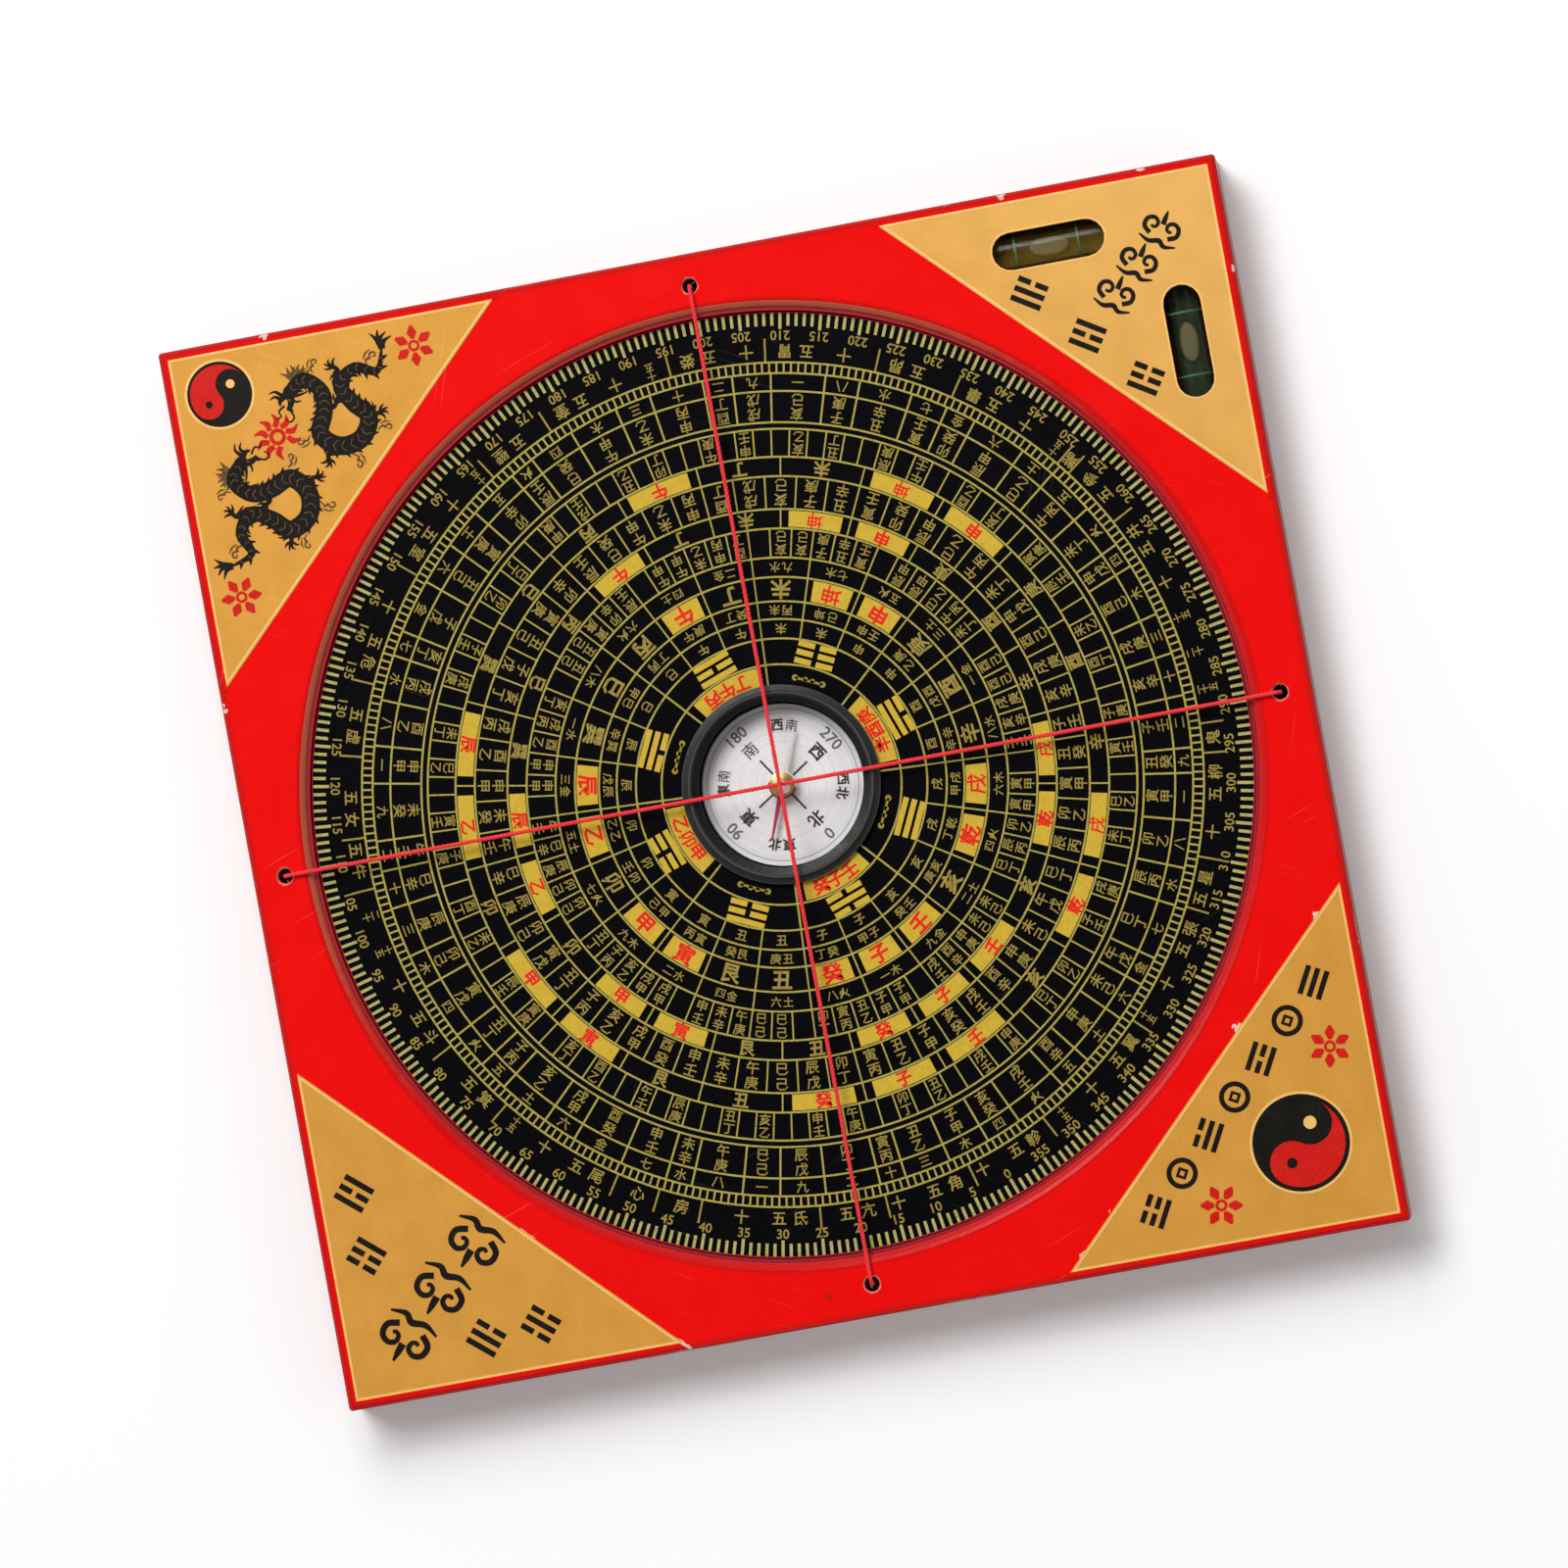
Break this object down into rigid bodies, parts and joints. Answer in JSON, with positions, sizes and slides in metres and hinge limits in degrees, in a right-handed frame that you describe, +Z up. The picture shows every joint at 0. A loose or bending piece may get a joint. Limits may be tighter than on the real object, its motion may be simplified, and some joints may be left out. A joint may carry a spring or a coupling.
{
  "type": "feng shui compass",
  "caption": "Square board with a round turning dial sunk in a well, a needle compass capsule at its middle, gold corner plates, two level vials and two crossed strings.",
  "frame": {"origin": "under the middle of the board, on the surface that it rests on", "axes": "+Z up, out of the dial; +Y from the middle towards the north string hole; +X towards the east string hole, so the corner plate with the two windows is at +X +Y"},
  "size_m": [0.19, 0.19, 0.0164],
  "materials": {
    "red_lacquer": "gloss",
    "dark_red_board": "painted",
    "gold_plate": "satin gold",
    "black_disc": "satin",
    "printed_face": "printed",
    "black_plastic": "moulded",
    "pale_card": "printed",
    "clear_acrylic": "clear",
    "clear_tube": "clear",
    "green_liquid": "clear",
    "air_bubble": "clear",
    "plug_plastic": "moulded",
    "steel": "polished",
    "brass": "polished",
    "needle_paint": "painted",
    "jewel_stone": "polished",
    "red_string": "twisted"
  },
  "bodies": {
    "plate": {"base_board": "dark_red_board", "frame_plate": "red_lacquer", "corner_plate_ne": "gold_plate", "corner_plate_nw": "gold_plate", "corner_plate_sw": "gold_plate", "corner_plate_se": "gold_plate", "vial_x_tube": "clear_tube", "vial_x_plug": "plug_plastic", "vial_x_liquid": "green_liquid", "vial_y_tube": "clear_tube", "vial_y_plug": "plug_plastic", "vial_y_liquid": "green_liquid", "cross_string_ns": "red_string", "cross_string_ew": "red_string", "string_knot_n": "red_string", "string_knot_s": "red_string", "string_knot_e": "red_string", "string_knot_w": "red_string"},
    "bubble_x": {"vial_x_bubble": "air_bubble"},
    "bubble_y": {"vial_y_bubble": "air_bubble"},
    "dial": {"dial_disc": "black_disc", "dial_face": "printed_face", "capsule_cup": "black_plastic", "capsule_card": "pale_card", "capsule_crystal": "clear_acrylic", "capsule_bezel": "black_plastic", "pivot_pin": "steel"},
    "needle": {"compass_needle": "needle_paint", "needle_cap": "brass", "cap_jewel": "jewel_stone"}
  },
  "joints": [
    {"name": "dial_turn", "type": "hinge", "parent": "plate", "child": "dial", "pos_m": [0, 0, 0.0053], "axis": [0, 0, 1], "continuous": true},
    {"name": "needle_swing", "type": "hinge", "parent": "dial", "child": "needle", "pos_m": [0, 0, 0.0101], "axis": [0, 0, 1], "continuous": true},
    {"name": "bubble_x_run", "type": "slide", "parent": "plate", "child": "bubble_x", "axis": [1, 0, 0], "range_m": [-0.0065, 0.0065], "stiffness_N_per_m": 0.02},
    {"name": "bubble_y_run", "type": "slide", "parent": "plate", "child": "bubble_y", "axis": [0, 1, 0], "range_m": [-0.0065, 0.0065], "stiffness_N_per_m": 0.02}
  ]
}
